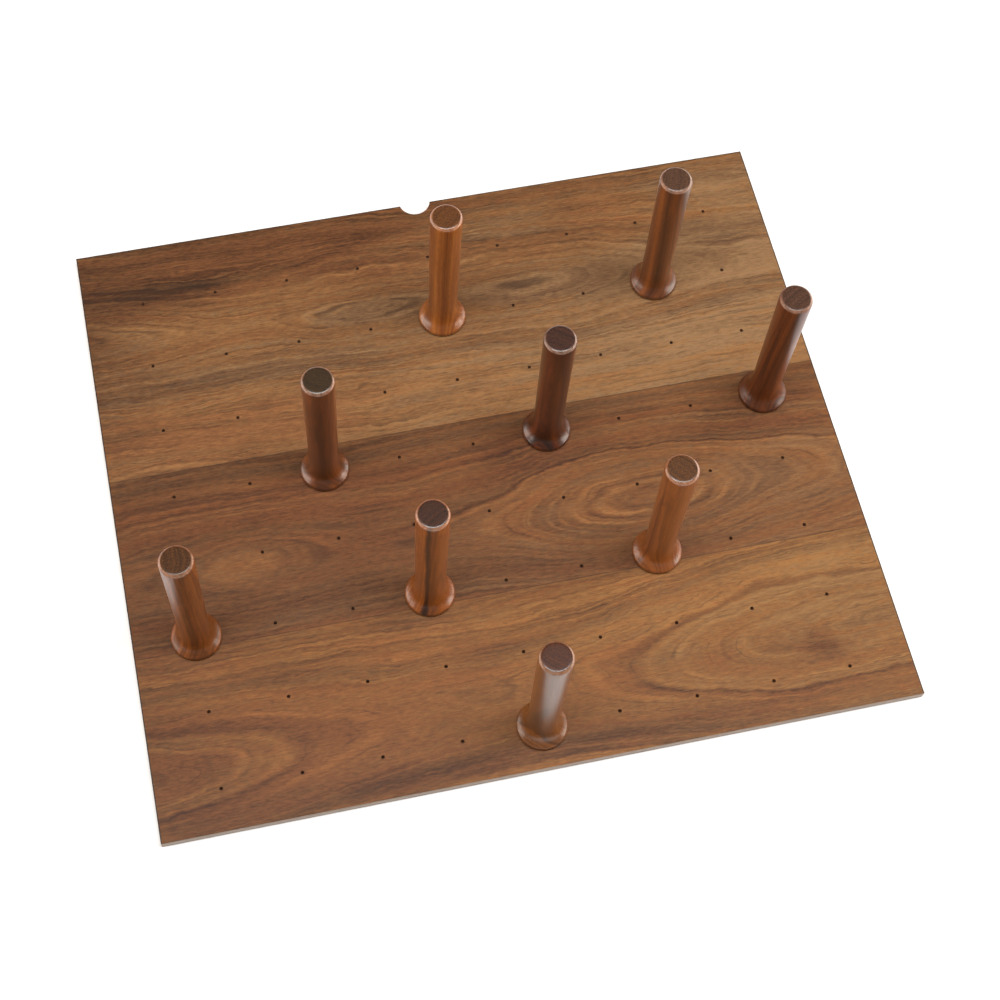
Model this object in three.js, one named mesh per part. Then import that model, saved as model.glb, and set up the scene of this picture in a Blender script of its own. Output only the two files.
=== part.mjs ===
// Drawer peg board: a walnut-veneered board with a grid of blind holes, and nine turned pegs, each
// with a steel pin in its foot that stands in one of the holes.
// Millimetres, +Z up, +Y towards the back of the drawer. The origin is the centre of the underside.
import * as THREE from "three";

// ---- the board ----
const BOARD_WIDTH = 616;
const BOARD_DEPTH = 540;
const VENEER = 0.6; // face leaves and back veneer
const CROSSBAND = 1.6; // the ply under each veneer, grain across
const CORE = 4.6; // the middle ply

const BACK_VENEER_Z = 0;
const LOWER_CROSSBAND_Z = BACK_VENEER_Z + VENEER;
const CORE_Z = LOWER_CROSSBAND_Z + CROSSBAND;
const UPPER_CROSSBAND_Z = CORE_Z + CORE;
const FACE_Z = UPPER_CROSSBAND_Z + CROSSBAND;
const BOARD_TOP = FACE_Z + VENEER;

// Glue seams of the face veneer, measured from the front edge.
const FRONT_SEAM = 152;
const BACK_SEAM = 313;

// ---- the hole grid; the holes go down through the core ply and stop on the lower crossband ----
const HOLE_PITCH = 64;
const HOLE_COLUMNS = 9;
const HOLE_ROWS = 8;
const HOLE_RADIUS = 1.55;
const HOLE_SIDES = 8;
const FRONT_ROW_FROM_EDGE = 34;

// ---- the finger notch in the back edge ----
const NOTCH_RADIUS = 14;
const NOTCH_DEPTH = 11;
const NOTCH_STEPS = 10;

// ---- the pegs ----
const PEG_HEIGHT = 155.6; // above the board's face
const PEG_SIDES = 24;
const FOOT_RADIUS = 20.6;
const FOOT_EDGE = 3.2; // radius of the foot's rounded edge
const SHOULDER_TURN = (5 * Math.PI) / 18; // how far the edge has turned over where the flare begins
const FLARE_TOP = 34; // where the flare has run into the shaft
const FLARE_LOW_PULL = 8; // how far each end of the flare holds its own direction
const FLARE_HIGH_PULL = 18.7;
const FLARE_STEPS = 7;
const EDGE_STEPS = 5; // facets round the foot's edge
const RIM_STEPS = 3; // facets in the rim's quarter round
const SHAFT_RADIUS = 12.4;
const RIM_RADIUS = 13.3; // the shaft widens a little to its rim
const RIM_ROUND = 3.2;
const PEG_BORE_RADIUS = 1.4;
const PEG_BORE_DEPTH = 18;

// ---- the pins ----
const PIN_RADIUS = 1.3;
const PIN_SIDES = 12;
const PIN_CHAMFER = 0.35;
const PIN_STANDOUT = 6.35; // how far the pin stands out of the foot
const PIN_LENGTH = 24;

const WALNUT_LIGHT = new THREE.Color(0.46, 0.27, 0.15);
const WALNUT_DARK = new THREE.Color(0.36, 0.2, 0.12);
const PALE_PLY = new THREE.Color(0.66, 0.52, 0.4);
const PEG_BROWN = new THREE.Color(0.36, 0.19, 0.1);
const PEG_ORANGE = new THREE.Color(0.46, 0.23, 0.09);
const PEG_RED = new THREE.Color(0.3, 0.13, 0.07);
const PEG_DARK = new THREE.Color(0.22, 0.1, 0.06);
const STEEL = new THREE.Color(0.62, 0.62, 0.64);

// Roughness of each surface.
const BARE_PLY = 0.75;
const SEALED_BACK = 0.6;
const SATIN_FACE = 0.45;
const GLOSS_PEG = 0.3;
const DRAWN_STEEL = 0.35;

// Column and row of the hole that each peg stands in, counted from the front left hole, and its
// wood. No two pegs are turned from the same piece of walnut.
const PEGS = [
  [4, 6, PEG_ORANGE],
  [7, 6, PEG_RED],
  [2, 4, PEG_RED],
  [5, 4, PEG_DARK],
  [8, 4, PEG_RED],
  [0, 2, PEG_BROWN],
  [3, 2, PEG_ORANGE],
  [6, 2, PEG_ORANGE],
  [4, 0, PEG_BROWN],
];

function wood(color, roughness) {
  return new THREE.MeshStandardMaterial({ color, roughness, metalness: 0 });
}

function steel() {
  return new THREE.MeshStandardMaterial({ color: STEEL, roughness: DRAWN_STEEL, metalness: 1 });
}

// The front-to-back place of something measured from the front edge.
function fromFront(distance) {
  return distance - BOARD_DEPTH / 2;
}

function holePlace(column, row) {
  const x = (column - (HOLE_COLUMNS - 1) / 2) * HOLE_PITCH;
  const y = fromFront(FRONT_ROW_FROM_EDGE + row * HOLE_PITCH);
  return new THREE.Vector2(x, y);
}

// The round outline of one drilled hole, as a path for a shape's holes.
function holePath(place) {
  const path = new THREE.Path();
  for (let side = 0; side < HOLE_SIDES; side++) {
    const angle = ((side + 0.5) / HOLE_SIDES) * 2 * Math.PI;
    const x = place.x + HOLE_RADIUS * Math.cos(angle);
    const y = place.y + HOLE_RADIUS * Math.sin(angle);
    if (side === 0) path.moveTo(x, y);
    else path.lineTo(x, y);
  }
  path.closePath();
  return path;
}

// A sheet of the board between two distances from the front edge. A sheet that reaches the back
// edge has the finger notch cut out of it.
function sheetShape(from, to, drilled) {
  const left = -BOARD_WIDTH / 2;
  const right = BOARD_WIDTH / 2;
  const front = fromFront(from);
  const back = fromFront(to);
  const shape = new THREE.Shape();
  shape.moveTo(left, front);
  shape.lineTo(right, front);
  shape.lineTo(right, back);
  if (to === BOARD_DEPTH) {
    const centreY = back + NOTCH_RADIUS - NOTCH_DEPTH;
    const halfOpening = Math.acos((NOTCH_RADIUS - NOTCH_DEPTH) / NOTCH_RADIUS);
    const start = -Math.PI / 2 + halfOpening;
    const end = -Math.PI / 2 - halfOpening;
    for (let step = 0; step <= NOTCH_STEPS; step++) {
      const angle = start + ((end - start) * step) / NOTCH_STEPS;
      const lift = step === 0 || step === NOTCH_STEPS ? back : centreY + NOTCH_RADIUS * Math.sin(angle);
      shape.lineTo(NOTCH_RADIUS * Math.cos(angle), lift);
    }
  }
  shape.lineTo(left, back);
  shape.closePath();
  if (drilled) {
    for (let row = 0; row < HOLE_ROWS; row++) {
      for (let column = 0; column < HOLE_COLUMNS; column++) {
        const place = holePlace(column, row);
        if (place.y > front && place.y < back) shape.holes.push(holePath(place));
      }
    }
  }
  return shape;
}

function sheet(name, shape, z, thickness, material) {
  const geometry = new THREE.ExtrudeGeometry(shape, { depth: thickness, bevelEnabled: false });
  const mesh = new THREE.Mesh(geometry, material);
  mesh.name = name;
  mesh.position.z = z;
  return mesh;
}

// The half outline of a peg, from the blind end of its bore, round the foot and up to the top.
function pegOutline() {
  const points = [
    new THREE.Vector2(0, PEG_BORE_DEPTH),
    new THREE.Vector2(PEG_BORE_RADIUS, PEG_BORE_DEPTH),
    new THREE.Vector2(PEG_BORE_RADIUS, 0),
  ];
  const footEdge = new THREE.EllipseCurve(
    FOOT_RADIUS - FOOT_EDGE,
    FOOT_EDGE,
    FOOT_EDGE,
    FOOT_EDGE,
    -Math.PI / 2,
    SHOULDER_TURN,
  );
  points.push(...footEdge.getPoints(EDGE_STEPS));
  const shoulder = footEdge.getPoint(1);
  const flare = new THREE.CubicBezierCurve(
    shoulder,
    new THREE.Vector2(
      shoulder.x - FLARE_LOW_PULL * Math.sin(SHOULDER_TURN),
      shoulder.y + FLARE_LOW_PULL * Math.cos(SHOULDER_TURN),
    ),
    new THREE.Vector2(SHAFT_RADIUS, FLARE_TOP - FLARE_HIGH_PULL),
    new THREE.Vector2(SHAFT_RADIUS, FLARE_TOP),
  );
  points.push(...flare.getPoints(FLARE_STEPS).slice(1));
  const rim = new THREE.EllipseCurve(
    RIM_RADIUS - RIM_ROUND,
    PEG_HEIGHT - RIM_ROUND,
    RIM_ROUND,
    RIM_ROUND,
    0,
    Math.PI / 2,
  );
  points.push(...rim.getPoints(RIM_STEPS));
  points.push(new THREE.Vector2(0, PEG_HEIGHT));
  return points;
}

function pinOutline() {
  return [
    new THREE.Vector2(0, 0),
    new THREE.Vector2(PIN_RADIUS - PIN_CHAMFER, 0),
    new THREE.Vector2(PIN_RADIUS, PIN_CHAMFER),
    new THREE.Vector2(PIN_RADIUS, PIN_LENGTH - PIN_CHAMFER),
    new THREE.Vector2(PIN_RADIUS - PIN_CHAMFER, PIN_LENGTH),
    new THREE.Vector2(0, PIN_LENGTH),
  ];
}

// A turned piece whose axis stands on the hole at the given place.
function turned(name, outline, sides, place, z, material) {
  const geometry = new THREE.LatheGeometry(outline, sides);
  geometry.rotateX(Math.PI / 2);
  const mesh = new THREE.Mesh(geometry, material);
  mesh.name = name;
  mesh.position.set(place.x, place.y, z);
  return mesh;
}

const board = new THREE.Group();
const whole = sheetShape(0, BOARD_DEPTH, false);
const drilled = sheetShape(0, BOARD_DEPTH, true);
board.add(
  sheet("back_veneer", whole, BACK_VENEER_Z, VENEER, wood(WALNUT_DARK, SEALED_BACK)),
  sheet("lower_crossband", whole, LOWER_CROSSBAND_Z, CROSSBAND, wood(PALE_PLY, BARE_PLY)),
  sheet("core_ply", drilled, CORE_Z, CORE, wood(PALE_PLY, BARE_PLY)),
  sheet("upper_crossband", drilled, UPPER_CROSSBAND_Z, CROSSBAND, wood(PALE_PLY, BARE_PLY)),
);

const leaves = [
  ["face_leaf_front", 0, FRONT_SEAM, WALNUT_LIGHT],
  ["face_leaf_middle", FRONT_SEAM, BACK_SEAM, WALNUT_DARK],
  ["face_leaf_back", BACK_SEAM, BOARD_DEPTH, WALNUT_LIGHT],
];
for (const [name, from, to, color] of leaves) {
  board.add(sheet(name, sheetShape(from, to, true), FACE_Z, VENEER, wood(color, SATIN_FACE)));
}

const pegs = new THREE.Group();
const pinFoot = BOARD_TOP - PIN_STANDOUT;
PEGS.forEach(([column, row, color], index) => {
  const place = holePlace(column, row);
  const number = index + 1;
  pegs.add(turned(`peg_${number}`, pegOutline(), PEG_SIDES, place, BOARD_TOP, wood(color, GLOSS_PEG)));
  pegs.add(turned(`pin_${number}`, pinOutline(), PIN_SIDES, place, pinFoot, steel()));
});

const pegBoard = new THREE.Group();
pegBoard.add(board, pegs);

export default pegBoard;
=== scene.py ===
"""Drawer peg board: a walnut-veneered board with a grid of blind holes and nine turned walnut pegs.

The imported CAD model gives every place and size. Each CAD node is replaced by a finer mesh of the
same piece, with a procedural material. Lengths are metres; the wood materials work in millimetres.
"""

import math

import bmesh
import bpy
from mathutils import Matrix, Vector
from mathutils.geometry import delaunay_2d_cdt


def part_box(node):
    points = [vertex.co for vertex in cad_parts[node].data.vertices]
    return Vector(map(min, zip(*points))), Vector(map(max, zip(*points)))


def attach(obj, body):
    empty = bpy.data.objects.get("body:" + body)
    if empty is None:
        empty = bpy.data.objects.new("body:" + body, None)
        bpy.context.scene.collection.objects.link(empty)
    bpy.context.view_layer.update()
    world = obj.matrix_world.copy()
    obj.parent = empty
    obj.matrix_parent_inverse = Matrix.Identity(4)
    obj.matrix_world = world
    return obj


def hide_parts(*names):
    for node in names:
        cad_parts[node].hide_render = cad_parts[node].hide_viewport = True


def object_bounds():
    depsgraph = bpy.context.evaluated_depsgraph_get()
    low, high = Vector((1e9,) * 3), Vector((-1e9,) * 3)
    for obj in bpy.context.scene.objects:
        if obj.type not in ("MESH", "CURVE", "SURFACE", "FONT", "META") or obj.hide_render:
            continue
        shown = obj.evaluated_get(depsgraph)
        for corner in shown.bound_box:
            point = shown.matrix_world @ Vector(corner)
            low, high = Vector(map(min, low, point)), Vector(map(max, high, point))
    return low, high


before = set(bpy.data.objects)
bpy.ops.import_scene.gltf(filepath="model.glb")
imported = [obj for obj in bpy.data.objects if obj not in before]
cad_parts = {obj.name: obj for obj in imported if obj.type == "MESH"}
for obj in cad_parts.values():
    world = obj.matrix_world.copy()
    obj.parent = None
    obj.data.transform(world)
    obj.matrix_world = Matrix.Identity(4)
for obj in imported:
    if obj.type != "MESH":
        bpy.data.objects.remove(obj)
CAD_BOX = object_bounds()

MM = 0.001
BOARD = "board"
SAME_PLACE = 1e-7  # points closer than this are one point
WELL_INSIDE = 0.99  # the part of a hole's radius within which a face lies in the hole

# ---- the hole grid and the finger notch, as the board is drilled and cut ----
PITCH = 64 * MM
COLUMNS = 9
ROWS = 8
FRONT_ROW_FROM_EDGE = 34 * MM
HOLE_RADIUS = 1.5 * MM
HOLE_STEPS = 28
NOTCH_RADIUS = 14 * MM
NOTCH_DEPTH = 11 * MM
NOTCH_STEPS = 28
EASE = 0.25 * MM  # the sanded arris round the board
HOLE_EASE = 0.12 * MM
PLY_RECESS = 0.06 * MM  # how far the crossbands stand back from the core at the edges

# ---- the pegs ----
FOOT_EDGE = 3.2 * MM
SHOULDER_TURN = 50  # degrees
FLARE_TOP = 34 * MM
FLARE_LOW_PULL = 8 * MM
FLARE_HIGH_PULL = 18.7 * MM
SHAFT_RADIUS = 12.4 * MM
RIM_RADIUS = 13.3 * MM
RIM_ROUND = 3.2 * MM
PEG_HEIGHT = 155.6 * MM
PEG_STEPS = 96
FOOT_EDGE_STEPS = 14
FLARE_STEPS = 28
SHAFT_STEPS = 14
RIM_STEPS = 12
BORE_RADIUS = 1.4 * MM
BORE_DEPTH = 18 * MM
BORE_EASE = 0.25 * MM
TOP_RINGS = (0.6, 0.25)  # the rings that divide a peg's flat top, as parts of its rim's radius
PIN_NOSE = 0.5 * MM
PIN_STEPS = 40
NOSE_STEPS = 5

# ---- the lights; each soft box is (name, place, size, radiance, colour) ----
WARM = (1.0, 0.90, 0.80)
NEUTRAL = (1.0, 1.0, 1.0)
SOFT_BOXES = (
    ("left_box", (-1.52, 0.34, 0.46), (1.7, 0.70), 4.0, WARM),
    ("right_box", (1.6, 0.06, 0.44), (2.1, 0.72), 5.6, WARM),
    ("top_box", (0.0, -0.4, 3.0), (3.2, 0.8), 12.2, NEUTRAL),
)
LIGHT_TARGET = (0.0, 0.0, 0.06)
WORLD_HORIZON = 0.34
WORLD_ZENITH = 0.12
WORLD_FADE = 0.6  # the sine of the elevation from which the room has its zenith's light
FLOOR_REACH = 24.0
FLOOR_GAP = 0.4 * MM  # how far the floor lies below the board

# ---- the camera, high in front of the board and a little to its left; lens in millimetres ----
CAMERA_TARGET = Vector((-0.0336, -0.0128, 0.009))
CAMERA_DISTANCE = 1.539
CAMERA_AZIMUTH = math.radians(-14.34)
CAMERA_ELEVATION = math.radians(64.11)
CAMERA_ROLL = math.radians(2.78)
CAMERA_LENS = 65.81
CAMERA_SENSOR = 36.0
CAMERA_SHIFT = (0.0576, -0.0151)
CAMERA_NEAR = 0.05


# ---------------------------------------------------------------- shader nodes


class Graph:
    """Builds one material's node tree out of sockets: a call takes some and hands back new ones."""

    def __init__(self, name):
        self.material = bpy.data.materials.new(name)
        self.material.use_nodes = True
        self.tree = self.material.node_tree
        self.tree.nodes.clear()
        self.output = self.tree.nodes.new("ShaderNodeOutputMaterial")

    def node(self, kind, inputs=(), output=0, **settings):
        made = self.tree.nodes.new(kind)
        for key, value in settings.items():
            setattr(made, key, value)
        for key, value in dict(inputs).items():
            self.put(made.inputs[key], value)
        return made.outputs[output]

    def put(self, socket, value):
        if isinstance(value, bpy.types.NodeSocket):
            self.tree.links.new(value, socket)
        elif hasattr(socket.default_value, "__len__") and len(socket.default_value) == 4:
            socket.default_value = (*value, 1.0)
        else:
            socket.default_value = value

    def math(self, operation, *values):
        return self.node("ShaderNodeMath", dict(enumerate(values)), operation=operation)

    def add(self, a, b):
        return self.math("ADD", a, b)

    def subtract(self, a, b):
        return self.math("SUBTRACT", a, b)

    def multiply(self, a, b):
        return self.math("MULTIPLY", a, b)

    def step(self, value, low, high, to_low=0.0, to_high=1.0):
        """A smooth step from to_low at low to to_high at high, whichever of the two is larger."""
        return self.node(
            "ShaderNodeMapRange",
            {
                "Value": value,
                "From Min": low,
                "From Max": high,
                "To Min": to_low,
                "To Max": to_high,
            },
            interpolation_type="SMOOTHSTEP",
        )

    def position_mm(self):
        """The piece's own coordinates, in millimetres, as x, y and z."""
        place = self.node("ShaderNodeTexCoord", output="Object")
        scaled = self.node("ShaderNodeVectorMath", {0: place, "Scale": 1 / MM}, operation="SCALE")
        return self.split(scaled)

    def facing_up(self):
        """How far the surface faces up, from -1 to 1."""
        return self.split(self.node("ShaderNodeTexCoord", output="Normal"))[2]

    def split(self, vector):
        """The x, y and z of a vector."""
        made = self.tree.nodes.new("ShaderNodeSeparateXYZ")
        self.tree.links.new(vector, made.inputs[0])
        return made.outputs[0], made.outputs[1], made.outputs[2]

    def vector(self, x, y, z):
        return self.node("ShaderNodeCombineXYZ", {0: x, 1: y, 2: z})

    def noise(self, x, y, z, size, detail=2.0, roughness=0.5):
        """Noise between 0 and 1 whose blobs measure about size = (x, y, z) millimetres."""
        place = self.vector(
            self.multiply(x, 1.0 / size[0]),
            self.multiply(y, 1.0 / size[1]),
            self.multiply(z, 1.0 / size[2]),
        )
        return self.node(
            "ShaderNodeTexNoise",
            {"Vector": place, "Scale": 1.0, "Detail": detail, "Roughness": roughness},
            noise_dimensions="3D",
        )

    def bands(self, value, size, detail=2.0, roughness=0.5, seed=0.0):
        """Noise along one value only: bands about size millimetres wide."""
        place = self.add(self.multiply(value, 1.0 / size), seed)
        return self.node(
            "ShaderNodeTexNoise",
            {"W": place, "Scale": 1.0, "Detail": detail, "Roughness": roughness},
            noise_dimensions="1D",
        )

    def swing(self, noise, amount):
        """A noise that swings evenly round 0, half of the amount either way."""
        return self.multiply(self.subtract(noise, 0.5), amount)

    def mix(self, factor, a, b, blend="MIX"):
        """The colour a at factor 0, and b, or b blended over a, at factor 1."""
        made = self.tree.nodes.new("ShaderNodeMix")
        made.data_type = "RGBA"
        made.blend_type = blend
        self.put(made.inputs[0], factor)
        self.put(made.inputs[6], a)
        self.put(made.inputs[7], b)
        return made.outputs[2]

    def ramp(self, value, stops):
        """A colour ramp through stops of (place, colour)."""
        made = self.tree.nodes.new("ShaderNodeValToRGB")
        elements = made.color_ramp.elements
        while len(elements) < len(stops):
            elements.new(0.5)
        for element, (place, color) in zip(elements, stops):
            element.position = place
            element.color = (*color, 1.0)
        self.tree.links.new(value, made.inputs[0])
        return made.outputs[0]

    def bump(self, height, distance):
        inputs = {"Height": height, "Distance": distance, "Strength": 1.0}
        return self.node("ShaderNodeBump", inputs)

    def finish(self, **inputs):
        """Ends the tree in a principled shader and hands back the material."""
        shader = self.tree.nodes.new("ShaderNodeBsdfPrincipled")
        for key, value in inputs.items():
            self.put(shader.inputs[key.replace("_", " ")], value)
        self.tree.links.new(shader.outputs[0], self.output.inputs[0])
        return self.material


# ---------------------------------------------------------------- wood materials

# Lacquered walnut from its darkest line to its palest sapwood streak.
WALNUT = (
    (0.0, (0.046, 0.0165, 0.0053)),
    (0.25, (0.099, 0.037, 0.0112)),
    (0.5, (0.163, 0.065, 0.0208)),
    (0.75, (0.234, 0.099, 0.0312)),
    (1.0, (0.310, 0.140, 0.0460)),
)
RED_WALNUT = (1.05, 0.92, 0.88)
OLIVE_WALNUT = (0.93, 1.06, 1.32)
PORE_DARK = (0.020, 0.009, 0.005)
# dark for the pegs' streaks and pores, and for the painted shade on their shafts and feet
STREAK_PORE_AND_SHADE_DARK = (0.016, 0.006, 0.003)
PLY_LIGHT = (0.53, 0.43, 0.36)
PLY_DARK = (0.34, 0.25, 0.19)
GLUE_DARK = (0.11, 0.06, 0.035)
GLUE_STRENGTH = 0.7
GLUE_REACH = 0.14  # how deep the glue line reaches into a ply, in millimetres
GLUE_FULL = 0.03  # down to here it is at its darkest
BACK_DARK = (0.07, 0.036, 0.02)
BACK_LIGHT = (0.2, 0.11, 0.062)
STEEL_STAINED = (0.42, 0.41, 0.4)
STEEL_BRIGHT = (0.62, 0.62, 0.63)
FLOOR_DARK = (0.92, 0.92, 0.92)
FLOOR_LIGHT = (0.94, 0.94, 0.94)
# the pale colour of the highlight painted on the pegs' rims
RIM_HIGHLIGHT_PAINT = (0.46, 0.27, 0.18)
EDGE_DARK = (0.022, 0.014, 0.010)
# painted shade in the drilled holes: its colour, and how far from a hole's axis it reaches
HOLE_SHADE_COLOR = (0.22, 0.11, 0.06)
HOLE_SHADE_START = 2.4  # millimetres from a hole's axis
HOLE_SHADE_END = 3.6

# How far the grain strays from its even figure, in millimetres.
RIPPLE = 6.0
JITTER = 3.2
DEPTH_SWAY = 12.0
ZONE_BEND = (90.0, 22.0)  # how far the outlines of the colour zones stray along and across

# How strongly each kind of mark shows in the veneer.
RING_STRENGTH = 0.46
LINE_STRENGTH = 0.26
DASH_STRENGTH = 0.30
PORE_STRENGTH = 0.45
SEAM_STRENGTH = 0.45
VEIN_FADE = 40.0  # how far either side of its start a vein fades in, in millimetres

# A pore opens where its noise is high: shut up to the first value, fully open from the second.
PORES = (0.60, 0.72)

# The dark borders of a leaf, in millimetres from its edge: full up to the first, gone by the second.
SEAM_BORDER = (0.2, 0.8)
ARRIS_BORDER = (0.5, 1.3)
# The board's front edge is no seam: no shade up to the first, and all of it from the second.
FRONT_BORDER = (1.0, 3.0)

# The pegs' wood: how much darker and lighter than its own colour the end grain gets, how strongly
# the pores show, and two heights in millimetres.
END_DARKER = 0.42
END_LIGHTER = 1.9
PEG_PORE_STRENGTH = 0.6
FOOT_PAINTED_SHADE = (6.0, 24.0)  # the painted shade on the foot is full up to the first, and gone by the second
RIM_HIGHLIGHT_REACH = (6.0, 3.0)  # how far below the top the painted rim highlight starts, and where it is full


def hump(g, offset, before, after):
    """A soft hump along one line, 1 in its middle, with its own reach on either side."""
    is_after = g.math("GREATER_THAN", offset, 0.0)
    reach = g.add(g.multiply(is_after, 1.0 / after - 1.0 / before), 1.0 / before)
    along = g.multiply(offset, reach)
    return g.math("EXPONENT", g.multiply(g.multiply(along, along), -1.0))


def oval(g, dx, dy, length, width):
    """A soft oval spot, 1 in its middle."""
    along = g.multiply(dx, 1.0 / length)
    across = g.multiply(dy, 1.0 / width)
    square = g.add(g.multiply(along, along), g.multiply(across, across))
    return g.math("EXPONENT", g.multiply(square, -1.0))


def figure_field(g, x, y, seed, heart, tilt, depth, rises, sway=36.0):
    """How far each point of a flat leaf is from the tree's heart, and how far above its line.

    The level lines of the distance are the grain. heart is the y of the line where the leaf lies
    nearest the heart, tilt how that line climbs to the right, sway how far it wanders, and depth
    how far below the leaf the heart lies. Each rise (x, reach left, reach right, height) brings
    the heart closer, which closes the grain there into ovals and arches. All in millimetres.
    """
    wander = g.noise(x, y, seed, (170.0, 60.0, 1.0), detail=3.0)
    ripple = g.noise(x, y, seed + 5.0, (26.0, 9.0, 1.0), detail=2.0)
    jitter = g.noise(x, y, seed + 8.0, (9.0, 3.6, 1.0), detail=2.0)
    level = g.add(g.subtract(y, heart), g.multiply(x, -tilt))
    for noise, amount in ((wander, sway), (ripple, RIPPLE), (jitter, JITTER)):
        level = g.add(level, g.swing(noise, amount))
    below = g.add(g.swing(wander, DEPTH_SWAY), depth)
    for cx, left, right, height in rises:
        below = g.subtract(below, g.multiply(hump(g, g.subtract(x, cx), left, right), height))
    distance = g.math("SQRT", g.add(g.multiply(level, level), g.multiply(below, below)))
    return distance, level


def zone_sums(g, x, y, zones, seed):
    """Adds up the soft colour zones (x, y, half length, half width, lightness, redness)."""
    wx = g.add(x, g.swing(g.noise(x, y, seed + 4.0, (60.0, 24.0, 1.0)), ZONE_BEND[0]))
    wy = g.add(y, g.swing(g.noise(x, y, seed + 6.0, (70.0, 20.0, 1.0)), ZONE_BEND[1]))
    lightness = 0.0
    redness = 0.0
    for cx, cy, length, width, light, red in zones:
        spot = oval(g, g.subtract(wx, cx), g.subtract(wy, cy), length, width)
        lightness = g.add(lightness, g.multiply(spot, light))
        redness = g.add(redness, g.multiply(spot, red))
    return lightness, redness


def leaf_lightness(g, x, y, grain, seed, contrast, veins):
    """How the grain lightens and darkens a leaf: rings, fibres, flecks, clouds and veins.

    grain is (distance from the heart, height above its line, how strong the rings are, fibres).
    """
    field, level, presence, fibre = grain
    broad = g.bands(field, 15.0, detail=2.0, seed=seed)
    rings = g.bands(field, 4.4, detail=3.0, roughness=0.62, seed=seed * 2.0)
    flake = g.noise(x, y, seed + 2.0, (7.0, 1.7, 1.0), detail=3.0, roughness=0.65)
    cloud = g.noise(x, y, seed + 3.0, (80.0, 22.0, 1.0), detail=3.0)
    ring_value = g.swing(rings, RING_STRENGTH * contrast)
    value = g.multiply(ring_value, g.step(presence, 0.32, 0.68, 0.35, 1.65))
    for noise, strength in ((broad, 0.32), (fibre, 0.27), (flake, 0.52), (cloud, 0.26)):
        value = g.add(value, g.swing(noise, strength * contrast))
    for distance, half_width, light, side, start in veins:
        off = g.math("ABSOLUTE", g.subtract(field, distance))
        on_side = g.step(g.multiply(level, side), 4.0, 12.0)
        vein = g.multiply(g.step(off, half_width, 0.0), on_side)
        vein = g.multiply(vein, g.step(x, start - VEIN_FADE, start + VEIN_FADE))
        value = g.add(value, g.multiply(vein, light))
    return value


def leaf_hue(g, x, y, field, seed, redness, color):
    """Turns a leaf's colour redder and more olive in bands, clouds and flecks."""
    cloud = g.noise(x, y, seed + 9.0, (80.0, 12.0, 1.0), detail=3.0)
    bands = g.bands(field, 9.0, detail=2.0, seed=seed + 40.0)
    fleck = g.noise(x, y, seed + 19.0, (8.0, 1.8, 1.0), detail=3.0, roughness=0.6)
    hue = redness
    for noise, amount in ((cloud, 1.6), (bands, 1.9), (fleck, 2.8)):
        hue = g.add(hue, g.swing(noise, amount))
    color = g.mix(g.step(hue, 0.0, 0.7), color, RED_WALNUT, blend="MULTIPLY")
    return g.mix(g.step(hue, 0.0, -0.7), color, OLIVE_WALNUT, blend="MULTIPLY")


def leaf_lines(g, x, y, field, presence, seed, contrast, color):
    """Draws the thin dark growth lines and the short dashes of the fibres."""
    crossing = g.bands(field, 6.5, detail=1.0, seed=seed * 3.0 + 5.0)
    off_line = g.math("ABSOLUTE", g.subtract(crossing, 0.5))
    line = g.multiply(g.step(off_line, 0.05, 0.0), g.step(presence, 0.36, 0.66))
    color = g.mix(g.multiply(line, LINE_STRENGTH * contrast), color, PORE_DARK)
    dash_noise = g.noise(x, y, seed + 14.0, (16.0, 0.9, 1.0), detail=2.0)
    dashes = g.step(dash_noise, 0.56, 0.72)
    return g.mix(g.multiply(dashes, DASH_STRENGTH * contrast), color, PORE_DARK)


def leaf_borders(g, x, y, node, color):
    """Darkens the glue lines at a leaf's seams, and the arris at the board's sides and back."""
    leaf_low, leaf_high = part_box(node)
    to_front = g.subtract(y, leaf_low.y / MM)
    to_back = g.subtract(leaf_high.y / MM, y)
    to_seam = g.math("MINIMUM", to_front, to_back)
    low, high = board_box_mm()
    behind_front = g.step(g.subtract(y, low[1]), *FRONT_BORDER)
    at_seam = g.step(to_seam, SEAM_BORDER[1], SEAM_BORDER[0], 0.0, SEAM_STRENGTH)
    seam_shade = g.multiply(at_seam, behind_front)
    color = g.mix(seam_shade, color, PORE_DARK)
    to_side = g.subtract(high[0], g.math("ABSOLUTE", x))
    to_end = g.subtract(high[1], y)
    to_edge = g.math("MINIMUM", to_side, to_end)
    at_arris = g.step(to_edge, ARRIS_BORDER[1], ARRIS_BORDER[0])
    return g.mix(at_arris, color, EDGE_DARK)


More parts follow.
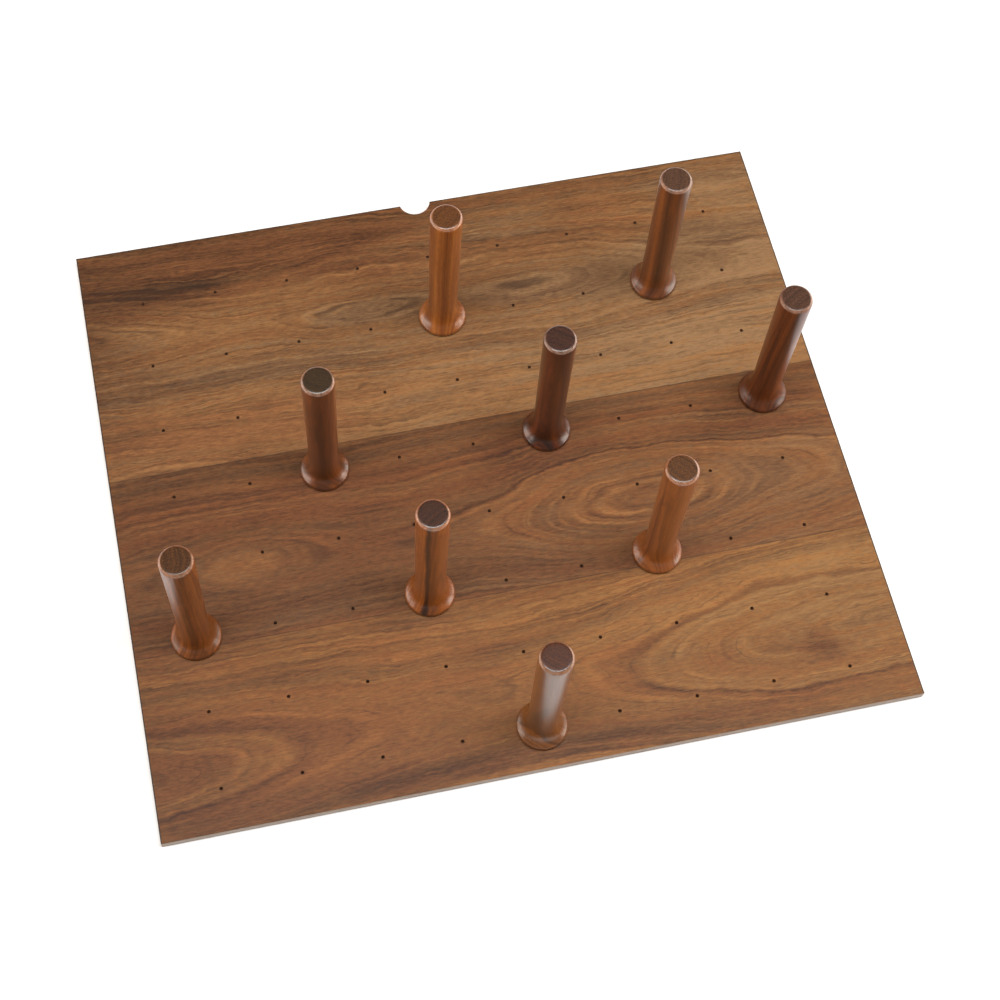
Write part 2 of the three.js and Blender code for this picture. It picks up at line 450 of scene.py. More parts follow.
def leaf_material(name, node, seed, tone, slope, tint, contrast, figure, veins, zones):
    """Flat-sliced walnut veneer under a satin lacquer.

    tone is the leaf's own lightness from 0 to 1, and slope how it changes for each metre to the
    right and to the back. tint is its own cast. figure lays out the grain, as figure_field says.
    Each vein is (distance, half width, lightness, side, start): one ring that stands out above
    (1) or below (-1) the heart line, to the right of start. The zones are drifts of colour, as
    zone_sums says.
    """
    g = Graph(name)
    x, y, _ = g.position_mm()
    field, level = figure_field(g, x, y, seed, **figure)
    lightness, redness = zone_sums(g, x, y, zones, seed)
    presence = g.noise(x, y, seed + 12.0, (60.0, 20.0, 1.0), detail=3.0)
    fibre = g.noise(x, y, seed, (20.0, 0.75, 1.0), detail=3.0, roughness=0.62)

    value = g.add(g.multiply(x, slope[0] * MM), g.multiply(y, slope[1] * MM))
    value = g.add(g.add(value, tone), lightness)
    grain = (field, level, presence, fibre)
    value = g.add(value, leaf_lightness(g, x, y, grain, seed, contrast, veins))
    color = g.ramp(value, WALNUT)
    color = leaf_hue(g, x, y, field, seed, redness, color)
    color = g.mix(1.0, color, tint, blend="MULTIPLY")
    color = leaf_lines(g, x, y, field, presence, seed, contrast, color)
    pore_noise = g.noise(x, y, seed + 1.0, (5.5, 0.26, 1.0), detail=1.0)
    pores = g.step(pore_noise, *PORES)
    color = g.mix(g.multiply(pores, PORE_STRENGTH), color, PORE_DARK)
    color = leaf_borders(g, x, y, node, color)

    relief = g.add(g.multiply(fibre, 0.3), g.multiply(pores, -0.7))
    normal = g.bump(relief, 0.05 * MM)
    rough = g.add(g.multiply(fibre, 0.16), 0.40)
    shader = dict(Base_Color=color, Roughness=rough, Normal=normal, IOR=1.5)
    shader["Specular IOR Level"] = 0.3
    return g.finish(**shader)


def board_box_mm():
    """The two corners of the board, in millimetres."""
    low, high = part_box("core_ply")
    return [c / MM for c in low], [c / MM for c in high]


def hole_shade(g, x, y):
    """Painted shade in the drilled holes: 1 in and close round them, fading to 0 a little way
    outside.
    """
    low, _ = board_box_mm()
    first_row = low[1] + FRONT_ROW_FROM_EDGE / MM
    half = 0.5 * PITCH / MM
    dx = g.math("WRAP", x, half, -half)
    dy = g.math("WRAP", g.subtract(y, first_row), half, -half)
    away = g.math("SQRT", g.add(g.multiply(dx, dx), g.multiply(dy, dy)))
    return g.step(away, HOLE_SHADE_END, HOLE_SHADE_START)


def ply_material(node, grain_along_x, seed):
    """A bare ply: long fibres on two edges, end grain on the other two, glue at its faces, and
    painted shade down the walls of the holes.
    """
    low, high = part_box(node)
    g = Graph(node + "_bare")
    x, y, z = g.position_mm()
    long_size = (30.0, 0.5, 0.35) if grain_along_x else (0.5, 30.0, 0.35)
    broad_size = (160.0, 9.0, 2.0) if grain_along_x else (9.0, 160.0, 2.0)
    fibre = g.noise(x, y, z, long_size, detail=3.0, roughness=0.65)
    broad = g.noise(x, y, g.add(z, seed), broad_size, detail=2.0)
    tone = g.add(g.multiply(fibre, 0.6), g.multiply(broad, 0.4))
    color = g.ramp(tone, [(0.3, PLY_DARK), (0.7, PLY_LIGHT)])
    middle = 0.5 * (low.z + high.z) / MM
    from_middle = g.math("ABSOLUTE", g.subtract(z, middle))
    half = 0.5 * (high.z - low.z) / MM
    glue = g.step(from_middle, half - GLUE_REACH, half - GLUE_FULL)
    color = g.mix(g.multiply(glue, GLUE_STRENGTH), color, GLUE_DARK)
    # painted shade down the walls of the holes
    color = g.mix(hole_shade(g, x, y), color, HOLE_SHADE_COLOR)
    normal = g.bump(fibre, 0.12 * MM)
    rough = g.add(g.multiply(fibre, 0.2), 0.6)
    return g.finish(Base_Color=color, Roughness=rough, Normal=normal, IOR=1.45)


def back_material():
    """The balancing veneer on the underside: quarter-cut walnut, sanded and sealed thinly."""
    g = Graph("walnut_back_sealed")
    x, y, _ = g.position_mm()
    field, _ = figure_field(g, x, y, seed=21.0, heart=700.0, tilt=0.0, depth=300.0, rises=())
    rings = g.bands(field, 3.4, detail=3.0, roughness=0.6, seed=4.0)
    fibre = g.noise(x, y, 2.0, (40.0, 0.6, 1.0), detail=3.0, roughness=0.6)
    tone = g.add(g.multiply(rings, 0.6), g.multiply(fibre, 0.4))
    color = g.ramp(tone, [(0.25, BACK_DARK), (0.7, BACK_LIGHT)])
    rough = g.add(g.multiply(fibre, 0.2), 0.5)
    return g.finish(Base_Color=color, Roughness=rough, Normal=g.bump(fibre, 0.05 * MM))


def paint_streaks_and_shade(g, x, y, z, seed, streaks_and_shade, color):
    """Draws the darker lines up the sides of a peg: partly dark streaks in the wood, partly painted
    shade down the front and sides of the shaft.
    """
    angle = g.math("ARCTAN2", y, x)
    wobble = g.noise(x, y, g.add(z, seed * 17.0), (7.0, 7.0, 24.0), detail=3.0, roughness=0.6)
    for at, half_width, strength in streaks_and_shade:
        off = g.add(g.subtract(angle, at), g.swing(wobble, 3.0 * half_width))
        off = g.math("ABSOLUTE", off)
        band = g.step(off, half_width * 1.7, half_width * 0.3, 0.0, strength)
        color = g.mix(band, color, STREAK_PORE_AND_SHADE_DARK)
    return color


def end_grain(g, x, y, z, radius, seed, end):
    """The colour of a peg's cut end: speckled, with arcs of the rings across it."""
    rings = g.bands(radius, 2.4, detail=2.0, seed=seed + 2.0)
    speckle = g.noise(x, y, z, (1.2, 1.2, 4.0), detail=3.0, roughness=0.7)
    tone = g.add(g.multiply(rings, 0.25), g.multiply(speckle, 0.75))
    dark = tuple(END_DARKER * c for c in end)
    light = tuple(END_LIGHTER * c for c in end)
    return g.ramp(tone, [(0.38, dark), (0.5, end), (0.64, light)])


def rim_painted_highlight(g, x, y, z, facing_up, seed):
    """Painted highlight on the rounded rim under the top: patchy, and strongest on its front side.
    """
    on_round = g.multiply(g.step(facing_up, 0.1, 0.5), g.step(facing_up, 0.97, 0.88))
    top = PEG_HEIGHT / MM
    near_top = g.step(z, top - RIM_HIGHLIGHT_REACH[0], top - RIM_HIGHLIGHT_REACH[1])
    patchy = g.noise(x, y, g.add(z, seed * 5.0), (3.0, 3.0, 3.0), detail=2.0)
    highlight = g.multiply(on_round, near_top)
    highlight = g.multiply(highlight, g.step(patchy, 0.3, 0.6, 0.15, 0.42))
    return g.multiply(highlight, g.step(y, 10.0, -3.0, 0.2, 1.0))


def peg_material(
    name,
    seed,
    light,
    middle,
    dark,
    end,
    pith,
    tilt,
    streaks_and_shade=(),
    coat=1.0,
    haze=0.28,
    foot_painted_shade=0.15,
):
    """Walnut turned from solid under a gloss lacquer.

    The rings lie round a pith outside the peg, so stripes run up the shaft and arcs cross its top.
    pith is (x, y) in millimetres, and tilt how far it wanders for each millimetre of height.
    Each streak is (angle, half width, strength): a darker line up that side, partly a dark streak in
    the wood and partly painted shade. end is the colour of the end grain on the top. coat and haze
    are the lacquer's thickness and roughness, and foot_painted_shade how much painted shade darkens
    the foot, towards the board.
    """
    g = Graph(name)
    x, y, z = g.position_mm()
    sway = g.noise(x, y, g.add(z, seed * 50.0), (22.0, 22.0, 70.0), detail=2.0)
    px = g.add(g.subtract(x, pith[0]), g.add(g.multiply(z, tilt[0]), g.multiply(sway, 7.0)))
    py = g.add(g.subtract(y, pith[1]), g.add(g.multiply(z, tilt[1]), g.multiply(sway, 5.0)))
    radius = g.math("SQRT", g.add(g.multiply(px, px), g.multiply(py, py)))
    rings = g.bands(radius, 1.9, detail=2.0, roughness=0.6, seed=seed)
    broad = g.bands(radius, 7.0, detail=1.0, seed=seed + 7.0)
    fibre = g.noise(x, y, g.add(z, seed * 31.0), (0.8, 0.8, 34.0), detail=3.0, roughness=0.62)
    tone = 0.5
    for noise, amount in ((rings, 0.75), (broad, 0.7), (fibre, 0.6)):
        tone = g.add(tone, g.swing(noise, amount))
    color = g.ramp(tone, [(0.22, dark), (0.5, middle), (0.78, light)])
    # darker lines up the shaft: partly streaks in the wood, partly painted shade on its front and
    # sides
    color = paint_streaks_and_shade(g, x, y, z, seed, streaks_and_shade, color)
    pore_noise = g.noise(x, y, g.add(z, seed * 11.0), (0.36, 0.36, 7.0), detail=1.0)
    pores = g.step(pore_noise, *PORES)
    color = g.mix(g.multiply(pores, PEG_PORE_STRENGTH), color, STREAK_PORE_AND_SHADE_DARK)

    facing_up = g.facing_up()
    is_end = g.step(g.math("ABSOLUTE", facing_up), 0.80, 0.97)
    color = g.mix(is_end, color, end_grain(g, x, y, z, radius, seed, end))
    # painted shade on the foot, darkest next to the board
    shade_at_foot = g.step(z, FOOT_PAINTED_SHADE[1], FOOT_PAINTED_SHADE[0], 0.0, foot_painted_shade)
    color = g.mix(shade_at_foot, color, STREAK_PORE_AND_SHADE_DARK)
    # painted highlight on the rounded rim, strongest on the front side
    color = g.mix(rim_painted_highlight(g, x, y, z, facing_up, seed), color, RIM_HIGHLIGHT_PAINT)

    relief = g.add(g.multiply(fibre, 0.4), g.multiply(pores, -0.6))
    rough = g.step(is_end, 0.0, 1.0, 0.34, 0.7)
    shader = dict(Base_Color=color, Roughness=rough, Normal=g.bump(relief, 0.03 * MM), IOR=1.5)
    shader["Specular IOR Level"] = 0.1
    shader.update(Coat_Weight=coat, Coat_Roughness=haze, Coat_IOR=1.6)
    return g.finish(**shader)


def steel_material():
    """Drawn steel pin: bright, with fine marks along it."""
    g = Graph("pin_drawn_steel")
    x, y, z = g.position_mm()
    marks = g.noise(x, y, z, (0.25, 0.25, 6.0), detail=3.0, roughness=0.6)
    stain = g.noise(x, y, z, (2.0, 2.0, 5.0), detail=2.0)
    color = g.ramp(stain, [(0.3, STEEL_STAINED), (0.7, STEEL_BRIGHT)])
    return g.finish(
        Base_Color=color,
        Metallic=1.0,
        Roughness=g.add(g.multiply(marks, 0.25), 0.2),
        Normal=g.bump(marks, 0.02 * MM),
    )


def floor_material():
    """Matt pale grey, with a hardly visible cloud in it."""
    g = Graph("pale_floor")
    x, y, z = g.position_mm()
    cloud = g.noise(x, y, z, (400.0, 400.0, 400.0), detail=2.0)
    color = g.ramp(cloud, [(0.3, FLOOR_DARK), (0.7, FLOOR_LIGHT)])
    return g.finish(Base_Color=color, Roughness=0.9)


# ---------------------------------------------------------------- mesh helpers


def new_piece(name, mesh, material, node):
    """Puts a mesh in the scene in place of a CAD node."""
    piece = bpy.data.objects.new(name, mesh)
    bpy.context.scene.collection.objects.link(piece)
    mesh.materials.append(material)
    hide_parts(node)
    return piece


def board_outline(low, high, inset):
    """The outline of a sheet between two corners, as 2D points turning left.

    inset draws the board's own edges in, and leaves a leaf's seam edges where they are.
    """
    board_low, board_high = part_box("core_ply")
    left = low.x + inset
    right = high.x - inset
    front = low.y + (inset if abs(low.y - board_low.y) < MM else 0.0)
    at_back = abs(high.y - board_high.y) < MM
    back = high.y - (inset if at_back else 0.0)
    points = [Vector((left, front)), Vector((right, front)), Vector((right, back))]
    if at_back:
        centre_y = board_high.y + NOTCH_RADIUS - NOTCH_DEPTH
        radius = NOTCH_RADIUS + inset
        opening = math.acos((centre_y - back) / radius)
        for step in range(NOTCH_STEPS + 1):
            angle = -math.pi / 2 + opening * (1 - 2 * step / NOTCH_STEPS)
            points.append(Vector((radius * math.cos(angle), centre_y + radius * math.sin(angle))))
    points.append(Vector((left, back)))
    return points


def hole_places(low, high):
    """The axes of the holes between a sheet's front and its back."""
    board_low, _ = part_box("core_ply")
    for row in range(ROWS):
        y = board_low.y + FRONT_ROW_FROM_EDGE + row * PITCH
        if low.y < y < high.y:
            for column in range(COLUMNS):
                yield Vector(((column - (COLUMNS - 1) / 2) * PITCH, y))


def circle(radius, steps):
    """Evenly spaced points round the origin, as (x, y)."""
    angles = [2 * math.pi * k / steps for k in range(steps)]
    return [(radius * math.cos(angle), radius * math.sin(angle)) for angle in angles]


def ring(centre, radius, steps):
    """Evenly spaced points round a centre, as a loop."""
    return [centre + Vector(point) for point in circle(radius, steps)]


def circle_of(loop):
    """The centre and the radius of a round loop."""
    centre = sum(loop, Vector((0, 0))) / len(loop)
    return centre, (loop[0] - centre).length


def fill(bm, loops, z, up):
    """Fills the flat region inside the first loop and outside the others.

    Hands back the new vertices of each loop, in the loop's own order.
    """
    points = [p for loop in loops for p in loop]
    edges = []
    start = 0
    for loop in loops:
        count = len(loop)
        edges += [(start + k, start + (k + 1) % count) for k in range(count)]
        start += count
    inside_only = 1
    verts, _, faces, origins, _, _ = delaunay_2d_cdt(points, edges, [], inside_only, SAME_PLACE)
    made = [None] * len(verts)
    of_point = {}
    for index, sources in enumerate(origins):
        made[index] = bm.verts.new((verts[index].x, verts[index].y, z))
        for source in sources:
            of_point[source] = made[index]
    holes = [circle_of(loop) for loop in loops[1:]]
    for face in faces:
        middle = sum((verts[k] for k in face), Vector((0, 0))) / len(face)
        if any((middle - centre).length < radius * WELL_INSIDE for centre, radius in holes):
            continue
        corners = [made[k] for k in (face if up else reversed(face))]
        bm.faces.new(corners)
    start = 0
    result = []
    for loop in loops:
        result.append([of_point[start + k] for k in range(len(loop))])
        start += len(loop)
    return result


def bridge(bm, upper, lower):
    """Walls in the space between two rows of vertices of the same length."""
    count = len(upper)
    for k in range(count):
        n = (k + 1) % count
        bm.faces.new((upper[k], lower[k], lower[n], upper[n]))


def finished_mesh(name, bm):
    """Turns every face outwards and hands back the mesh."""
    bmesh.ops.recalc_face_normals(bm, faces=bm.faces)
    mesh = bpy.data.meshes.new(name)
    bm.to_mesh(mesh)
    bm.free()
    return mesh


def row_at(bm, outline, z):
    """New vertices at the points of an outline, all at one height."""
    return [bm.verts.new((point.x, point.y, z)) for point in outline]


def sheet_mesh(name, node, drilled, eased_top=False, eased_bottom=False, recess=0.0):
    """A sheet of the board with round holes. An eased face has its outer arris sanded off."""
    low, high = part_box(node)
    bm = bmesh.new()
    centres = list(hole_places(low, high)) if drilled else []
    walls = [board_outline(low, high, recess)]
    walls += [ring(centre, HOLE_RADIUS, HOLE_STEPS) for centre in centres]

    top = list(walls)
    if eased_top:
        top = [board_outline(low, high, recess + EASE)]
        top += [ring(centre, HOLE_RADIUS + HOLE_EASE, HOLE_STEPS) for centre in centres]
    bottom = list(walls)
    if eased_bottom:
        bottom[0] = board_outline(low, high, recess + EASE)

    top_loops = fill(bm, top, high.z, True)
    bottom_loops = fill(bm, bottom, low.z, False)
    for index, (above, below, wall) in enumerate(zip(top_loops, bottom_loops, walls)):
        is_outline = index == 0
        if eased_top:
            middle = row_at(bm, wall, high.z - (EASE if is_outline else HOLE_EASE))
            bridge(bm, above, middle)
            above = middle
        if eased_bottom and is_outline:
            middle = row_at(bm, wall, low.z + EASE)
            bridge(bm, above, middle)
            above = middle
        bridge(bm, above, below)
    return finished_mesh(name, bm)


def lathe_mesh(name, outline, steps):
    """Turns an outline of (radius, height) points, which starts and ends on the axis."""
    bm = bmesh.new()
    rows = []
    for radius, height in outline:
        if radius < SAME_PLACE:
            rows.append([bm.verts.new((0.0, 0.0, height))])
        else:
            rows.append([bm.verts.new((x, y, height)) for x, y in circle(radius, steps)])
    for lower, upper in zip(rows, rows[1:]):
        for k in range(steps):
            n = (k + 1) % steps
            if len(lower) == 1:
                bm.faces.new((lower[0], upper[n], upper[k]))
            elif len(upper) == 1:
                bm.faces.new((lower[k], lower[n], upper[0]))
            else:
                bm.faces.new((lower[k], lower[n], upper[n], upper[k]))
    for face in bm.faces:
        face.smooth = True
    return finished_mesh(name, bm)


def arc(centre, radius, start, end, steps):
    """Points on an arc, as (radius, height), from one angle in degrees to another."""
    result = []
    for k in range(steps + 1):
        angle = math.radians(start + (end - start) * k / steps)
        result.append((centre[0] + radius * math.cos(angle), centre[1] + radius * math.sin(angle)))
    return result


def bezier(a, b, c, d, steps):
    """Points on the cubic curve that starts at a, is pulled by b and c, and ends at d."""
    result = []
    for k in range(steps + 1):
        t = k / steps
        s = 1 - t
        weights = (s**3, 3 * s * s * t, 3 * s * t * t, t**3)
        result.append(tuple(sum(w * p[i] for w, p in zip(weights, (a, b, c, d))) for i in (0, 1)))
    return result


# ---------------------------------------------------------------- the board


# The three leaves of the face veneer, sliced from different flitches.
LEAVES = {
    "face_leaf_back": dict(
        seed=2.0,
        tone=0.985,
        slope=(0.5, -1.9),
        tint=(1.0, 1.06, 1.12),
        contrast=1.6,
        figure=dict(
            heart=167.0,
            tilt=-0.03,
            depth=40.0,
            rises=[
                (-400.0, 230.0, 230.0, 40.0),
                (-60.0, 80.0, 70.0, 25.0),
                (80.0, 80.0, 120.0, 24.0),
            ],
        ),
        veins=[
            (44.0, 2.2, -0.16, 1.0, 10.0),
            (47.0, 2.0, 0.12, 1.0, 10.0),
            (52.0, 2.5, -0.12, -1.0, -340.0),
        ],
        zones=[
            (-250.0, 221.0, 66.0, 11.0, -0.30, -0.4),
            (-310.0, 140.0, 40.0, 110.0, -0.16, 0.0),
            (270.0, 240.0, 60.0, 24.0, 0.12, -1.2),
            (-140.0, 205.0, 90.0, 26.0, 0.10, 0.0),
            (-165.0, 232.0, 60.0, 7.0, -0.18, -0.2),
            (-55.0, 243.0, 34.0, 5.0, -0.24, 0.2),
            (-120.0, 240.0, 260.0, 34.0, -0.08, 0.9),
            (60.0, 235.0, 70.0, 20.0, 0.12, -1.2),
            (-200.0, 172.0, 85.0, 18.0, 0.28, 0.0),
            (-60.0, 166.0, 44.0, 11.0, -0.06, -1.3),
            (-150.0, 130.0, 150.0, 14.0, -0.06, -0.6),
            (110.0, 160.0, 90.0, 16.0, -0.10, -1.0),
            (240.0, 170.0, 110.0, 34.0, 0.03, -1.4),
            (200.0, 90.0, 180.0, 30.0, -0.02, -0.8),
            (180.0, 215.0, 130.0, 20.0, 0.0, 0.5),
            (-210.0, 70.0, 130.0, 26.0, -0.08, 0.8),
        ],
    ),
    "face_leaf_middle": dict(
        seed=5.0,
        tone=0.49,
        slope=(0.35, 0.0),
        tint=(1.04, 0.99, 0.90),
        contrast=1.32,
        figure=dict(
            heart=-56.0,
            tilt=0.0,
            depth=46.0,
            rises=[
                (138.0, 100.0, 88.0, 38.0),
                (-210.0, 50.0, 60.0, 5.0),
                (270.0, 40.0, 40.0, 6.0),
            ],
            sway=16.0,
        ),
        veins=[
            (45.5, 1.6, 0.22, 1.0, -60.0),
            (48.5, 1.6, -0.26, 1.0, -60.0),
            (52.5, 1.4, -0.12, 1.0, 120.0),
            (46.5, 1.5, 0.10, 1.0, -340.0),
            (40.0, 2.4, -0.14, -1.0, -340.0),
        ],
        zones=[
            (0.0, 34.0, 420.0, 12.0, -0.08, -0.2),
            (92.0, -55.0, 66.0, 27.0, 0.11, 0.0),
            (250.0, -60.0, 80.0, 40.0, 0.04, -0.6),
            (-210.0, -59.0, 28.0, 9.0, 0.0, -0.2),
            (-110.0, -45.0, 80.0, 22.0, -0.04, 0.4),
            (-60.0, -100.0, 130.0, 10.0, -0.10, -0.3),
            (-150.0, 0.0, 200.0, 18.0, -0.02, 0.7),
            (45.0, 4.0, 40.0, 24.0, -0.20, 0.3),
            (240.0, 2.0, 44.0, 24.0, -0.24, 0.3),
            (90.0, -113.0, 80.0, 6.0, -0.12, 0.3),
        ],
    ),
    "face_leaf_front": dict(
        seed=8.0,
        tone=0.70,
        slope=(0.35, 0.3),
        tint=(1.03, 0.99, 0.79),
        contrast=1.4,
        figure=dict(
            heart=-208.0,
            tilt=0.03,
            depth=60.0,
            rises=[(300.0, 190.0, 100.0, 54.0), (-400.0, 230.0, 230.0, 38.0)],
            sway=30.0,
        ),
        veins=[
            (81.0, 2.2, -0.32, 1.0, -140.0),
            (47.0, 2.2, -0.10, 1.0, -340.0),
            (47.0, 2.0, -0.12, 1.0, 80.0),
            (46.0, 2.2, -0.08, -1.0, -340.0),
            (46.0, 2.0, -0.12, -1.0, 80.0),
        ],
        zones=[
            (-210.0, -258.0, 190.0, 14.0, -0.18, 0.2),
            (-270.0, -134.0, 60.0, 12.0, 0.0, 0.2),
            (20.0, -132.0, 110.0, 8.0, 0.10, 0.0),
            (-80.0, -160.0, 60.0, 12.0, 0.08, 0.3),
            (170.0, -165.0, 120.0, 22.0, 0.13, -0.1),
            (270.0, -175.0, 90.0, 60.0, 0.0, -0.55),
            (-180.0, -210.0, 170.0, 60.0, 0.0, 0.6),
            (-80.0, -130.0, 34.0, 12.0, -0.14, 0.0),
            (160.0, -130.0, 30.0, 12.0, -0.12, 0.0),
            (240.0, -212.0, 22.0, 12.0, -0.42, 0.8),
            (240.0, -138.0, 90.0, 14.0, 0.14, 0.0),
            (-300.0, -190.0, 55.0, 70.0, -0.15, 0.0),
            (100.0, -255.0, 300.0, 12.0, -0.20, 0.3),
        ],
    ),
}


def build_board():
    """The seven sheets of the board, all on one body."""
    for node, leaf in LEAVES.items():
        material = leaf_material("veneer_" + node, node, **leaf)
        mesh = sheet_mesh(node + "_fine", node, drilled=True, eased_top=True)
        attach(new_piece(node + "_veneer", mesh, material, node), BOARD)

    # Each ply is (node, whether its grain runs along x, whether it is drilled, recess).
    plies = [
        ("upper_crossband", False, True, PLY_RECESS),
        ("core_ply", True, True, 0.0),
        ("lower_crossband", False, False, PLY_RECESS),
    ]
    for index, (node, along_x, drilled, recess) in enumerate(plies):
        material = ply_material(node, along_x, seed=index * 7.0)
        mesh = sheet_mesh(node + "_fine", node, drilled=drilled, recess=recess)
        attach(new_piece(node + "_sheet", mesh, material, node), BOARD)

    mesh = sheet_mesh("back_veneer_fine", "back_veneer", drilled=False, eased_bottom=True)
    piece = new_piece("back_veneer_sheet", mesh, back_material(), "back_veneer")
    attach(piece, BOARD)


# ---------------------------------------------------------------- the pegs

# Each peg is turned from its own piece of walnut.
PEG_WOODS = {
    1: dict(
        light=(0.420, 0.132, 0.020),
        middle=(0.300, 0.084, 0.011),
        dark=(0.200, 0.048, 0.006),
        end=(0.108, 0.035, 0.006),
        pith=(30, -22),
        tilt=(0.02, 0.05),
        # the second line is painted shade on the left side
        streaks_and_shade=[(-1.65, 0.20, 0.08), (-2.8, 0.5, 0.18)],
    ),
    2: dict(
        light=(0.266, 0.071, 0.010),
        middle=(0.162, 0.042, 0.007),
        dark=(0.076, 0.020, 0.004),
        end=(0.076, 0.031, 0.013),
        pith=(-26, 18),
        tilt=(0.06, 0.02),
        # the second line is painted shade on the right side
        streaks_and_shade=[(-1.50, 0.42, 0.40), (-0.7, 0.35, 0.3)],
        coat=0.95,
        haze=0.32,
    ),
    3: dict(
        light=(0.238, 0.063, 0.011),
        middle=(0.157, 0.040, 0.006),
        dark=(0.086, 0.023, 0.004),
        end=(0.035, 0.016, 0.003),
        pith=(24, 30),
        tilt=(0.03, -0.04),
        streaks_and_shade=[(-1.85, 0.35, 0.5)],
    ),
    4: dict(
        light=(0.170, 0.038, 0.006),
        middle=(0.080, 0.015, 0.002),
        dark=(0.026, 0.006, 0.001),
        end=(0.044, 0.014, 0.006),
        pith=(-18, -30),
        tilt=(0.02, 0.03),
        streaks_and_shade=[(-1.80, 0.35, 0.5), (-1.2, 0.12, 0.5), (-2.5, 0.1, 0.4)],
    ),
    5: dict(
        light=(0.202, 0.050, 0.008),
        middle=(0.132, 0.031, 0.006),
        dark=(0.066, 0.015, 0.003),
        end=(0.066, 0.026, 0.012),
        pith=(22, -26),
        tilt=(-0.03, 0.05),
        streaks_and_shade=[(-2.5, 0.12, 0.4), (-1.6, 0.14, 0.35)],
        coat=0.62,
        haze=0.34,
        foot_painted_shade=0.30,
    ),
    6: dict(
        light=(0.335, 0.090, 0.015),
        middle=(0.205, 0.059, 0.011),
        dark=(0.093, 0.029, 0.007),
        end=(0.065, 0.022, 0.004),
        pith=(-30, 14),
        tilt=(0.05, 0.04),
        streaks_and_shade=[(-1.60, 0.32, 0.42)],
        coat=0.6,
    ),
    7: dict(
        light=(0.430, 0.119, 0.017),
        middle=(0.278, 0.073, 0.009),
        dark=(0.134, 0.033, 0.005),
        end=(0.042, 0.012, 0.003),
        pith=(20, -34),
        tilt=(-0.04, 0.02),
        streaks_and_shade=[(-2.0, 0.12, 0.9), (-1.75, 0.3, 0.35)],
    ),
    8: dict(
        light=(0.357, 0.101, 0.018),
        middle=(0.255, 0.071, 0.012),
        dark=(0.153, 0.041, 0.008),
        end=(0.084, 0.028, 0.004),
        pith=(-34, -20),
        tilt=(0.02, 0.03),
        streaks_and_shade=[(-2.75, 0.05, 0.5)],
    ),
    9: dict(
        light=(0.288, 0.095, 0.020),
        middle=(0.189, 0.062, 0.013),
        dark=(0.099, 0.033, 0.008),
        end=(0.060, 0.014, 0.002),
        pith=(28, 28),
        tilt=(0.03, 0.02),
        coat=0.9,
    ),
}


def peg_outline(height, foot_radius):
    """The half outline of a peg from the blind end of its bore round to the middle of its top."""
    points = [(0.0, BORE_DEPTH), (BORE_RADIUS, BORE_DEPTH)]
    points += [(BORE_RADIUS, BORE_EASE), (BORE_RADIUS + BORE_EASE, 0.0)]
    foot_centre = (foot_radius - FOOT_EDGE, FOOT_EDGE)
    points += arc(foot_centre, FOOT_EDGE, -90, SHOULDER_TURN, FOOT_EDGE_STEPS)
    shoulder = points[-1]
    turn = math.radians(SHOULDER_TURN)
    low_pull = (
        shoulder[0] - FLARE_LOW_PULL * math.sin(turn),
        shoulder[1] + FLARE_LOW_PULL * math.cos(turn),
    )
    high_pull = (SHAFT_RADIUS, FLARE_TOP - FLARE_HIGH_PULL)
    shaft_foot = (SHAFT_RADIUS, FLARE_TOP)
    points += bezier(shoulder, low_pull, high_pull, shaft_foot, FLARE_STEPS)[1:]
    rim_start = height - RIM_ROUND
    for k in range(1, SHAFT_STEPS):
        t = k / SHAFT_STEPS
        radius = SHAFT_RADIUS + (RIM_RADIUS - SHAFT_RADIUS) * t
        points.append((radius, FLARE_TOP + (rim_start - FLARE_TOP) * t))
    points += arc((RIM_RADIUS - RIM_ROUND, rim_start), RIM_ROUND, 0, 90, RIM_STEPS)
    points += [(RIM_RADIUS * part, height) for part in TOP_RINGS]
    points.append((0.0, height))
    return points


def pin_outline(length, radius):
    """The half outline of a pin, with both its ends rounded off."""
    points = [(0.0, 0.0)]
    points += arc((radius - PIN_NOSE, PIN_NOSE), PIN_NOSE, -90, 0, NOSE_STEPS)
    points += arc((radius - PIN_NOSE, length - PIN_NOSE), PIN_NOSE, 0, 90, NOSE_STEPS)
    points.append((0.0, length))
    return points


def turned_piece(name, node, outline, steps, material):
    """Turns the outline that a height and a radius give, and stands it in a CAD node's place."""
    low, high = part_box(node)
    points = outline(high.z - low.z, (high.x - low.x) / 2)
    piece = new_piece(name, lathe_mesh(node + "_turned", points, steps), material, node)
    piece.location = Vector(((low.x + high.x) / 2, (low.y + high.y) / 2, low.z))
    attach(piece, node)


def build_pegs():
    """The nine pegs and their pins, each on its own body."""
    steel = steel_material()
    for number, finish in PEG_WOODS.items():
        peg = f"peg_{number}"
        pin = f"pin_{number}"
        walnut = peg_material(f"walnut_peg_{number}", float(number), **finish)
        turned_piece(peg + "_wood", peg, peg_outline, PEG_STEPS, walnut)
        turned_piece(pin + "_dowel", pin, pin_outline, PIN_STEPS, steel)


# ---------------------------------------------------------------- the studio


def build_floor():
    """A wide pale floor just under the board."""
    bm = bmesh.new()
    bmesh.ops.create_grid(bm, x_segments=1, y_segments=1, size=FLOOR_REACH)
    mesh = bpy.data.meshes.new("studio_floor")
    bm.to_mesh(mesh)
    bm.free()
    floor = bpy.data.objects.new("studio_floor", mesh)
    floor.location = (0.0, 0.0, CAD_BOX[0][2] - FLOOR_GAP)
    mesh.materials.append(floor_material())
    bpy.context.scene.collection.objects.link(floor)


def area_light(name, place, target, size, power, color):
    light = bpy.data.lights.new(name, "AREA")
    light.shape = "RECTANGLE"
    light.size, light.size_y = size
    light.energy = power
    light.color = color
    made = bpy.data.objects.new(name, light)
    made.location = place
    made.rotation_euler = (Vector(target) - Vector(place)).to_track_quat("-Z", "Y").to_euler()
    bpy.context.scene.collection.objects.link(made)


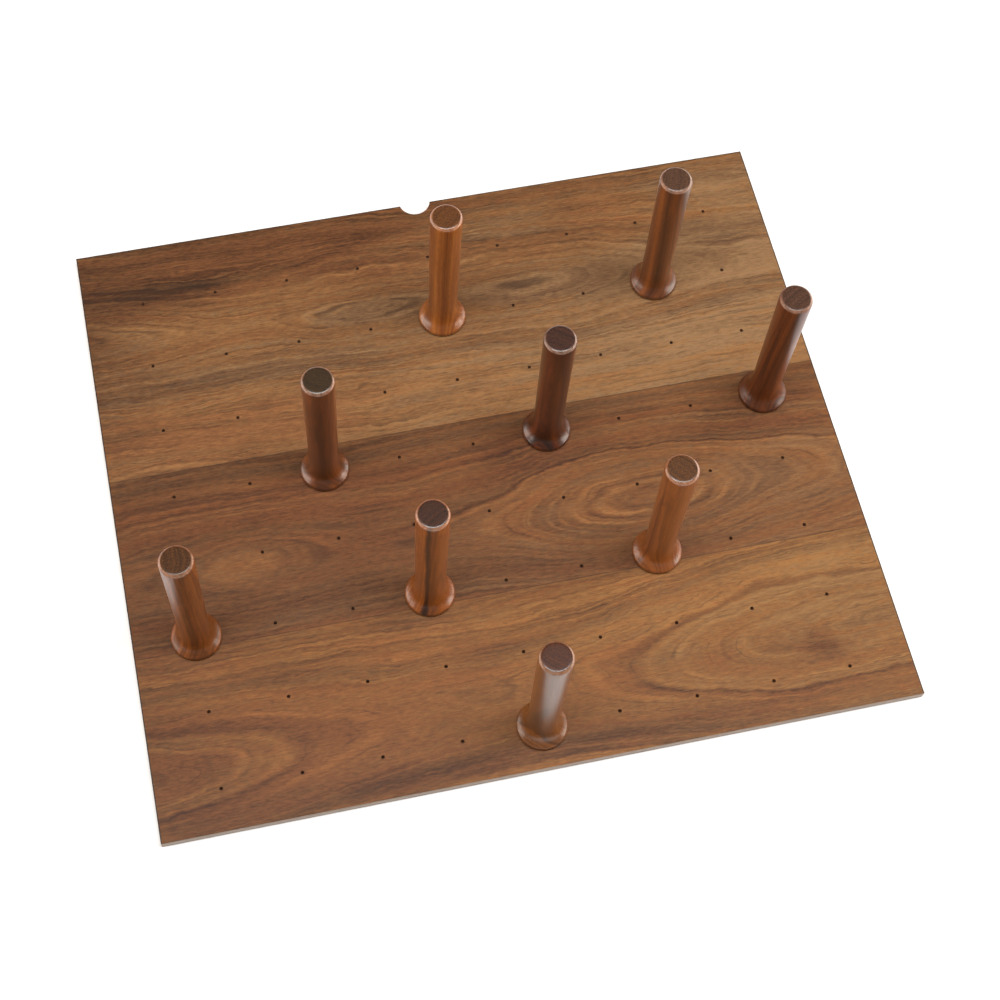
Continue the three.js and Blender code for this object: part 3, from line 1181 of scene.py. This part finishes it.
def radiant_power(radiance, size):
    """The power in watts that makes an area light look as bright as the given radiance."""
    return radiance * math.pi * size[0] * size[1]


def build_lights():
    """Two soft boxes low at the sides, and one overhead."""
    for name, place, size, radiance, color in SOFT_BOXES:
        power = radiant_power(radiance, size)
        area_light(name, place, LIGHT_TARGET, size, power, color)


def build_world():
    """A pale room that darkens upwards."""
    world = bpy.data.worlds.new("studio")
    world.use_nodes = True
    tree = world.node_tree
    background = tree.nodes["Background"]
    background.inputs["Color"].default_value = (1.0, 1.0, 1.0, 1.0)
    place = tree.nodes.new("ShaderNodeTexCoord")
    split = tree.nodes.new("ShaderNodeSeparateXYZ")
    fade = tree.nodes.new("ShaderNodeMapRange")
    fade.interpolation_type = "SMOOTHSTEP"
    fade.inputs["From Min"].default_value = 0.0
    fade.inputs["From Max"].default_value = WORLD_FADE
    fade.inputs["To Min"].default_value = WORLD_HORIZON
    fade.inputs["To Max"].default_value = WORLD_ZENITH
    tree.links.new(place.outputs["Generated"], split.inputs[0])
    tree.links.new(split.outputs["Z"], fade.inputs["Value"])
    tree.links.new(fade.outputs["Result"], background.inputs["Strength"])
    bpy.context.scene.world = world
    bpy.context.scene.view_settings.view_transform = "Standard"


def build_camera():
    """The camera of the main view."""
    data = bpy.data.cameras.new("camera")
    data.sensor_width = CAMERA_SENSOR
    data.lens = CAMERA_LENS
    data.shift_x, data.shift_y = CAMERA_SHIFT
    data.clip_start = CAMERA_NEAR
    camera = bpy.data.objects.new("camera", data)
    level = math.cos(CAMERA_ELEVATION)
    away = Vector(
        (
            math.sin(CAMERA_AZIMUTH) * level,
            -math.cos(CAMERA_AZIMUTH) * level,
            math.sin(CAMERA_ELEVATION),
        )
    )
    camera.location = CAMERA_TARGET + CAMERA_DISTANCE * away
    look = (-away).to_track_quat("-Z", "Y").to_matrix()
    camera.rotation_euler = (look @ Matrix.Rotation(CAMERA_ROLL, 3, "Z")).to_euler()
    bpy.context.scene.collection.objects.link(camera)
    bpy.context.scene.camera = camera


build_camera()
build_lights()
build_world()
build_floor()
build_board()
build_pegs()
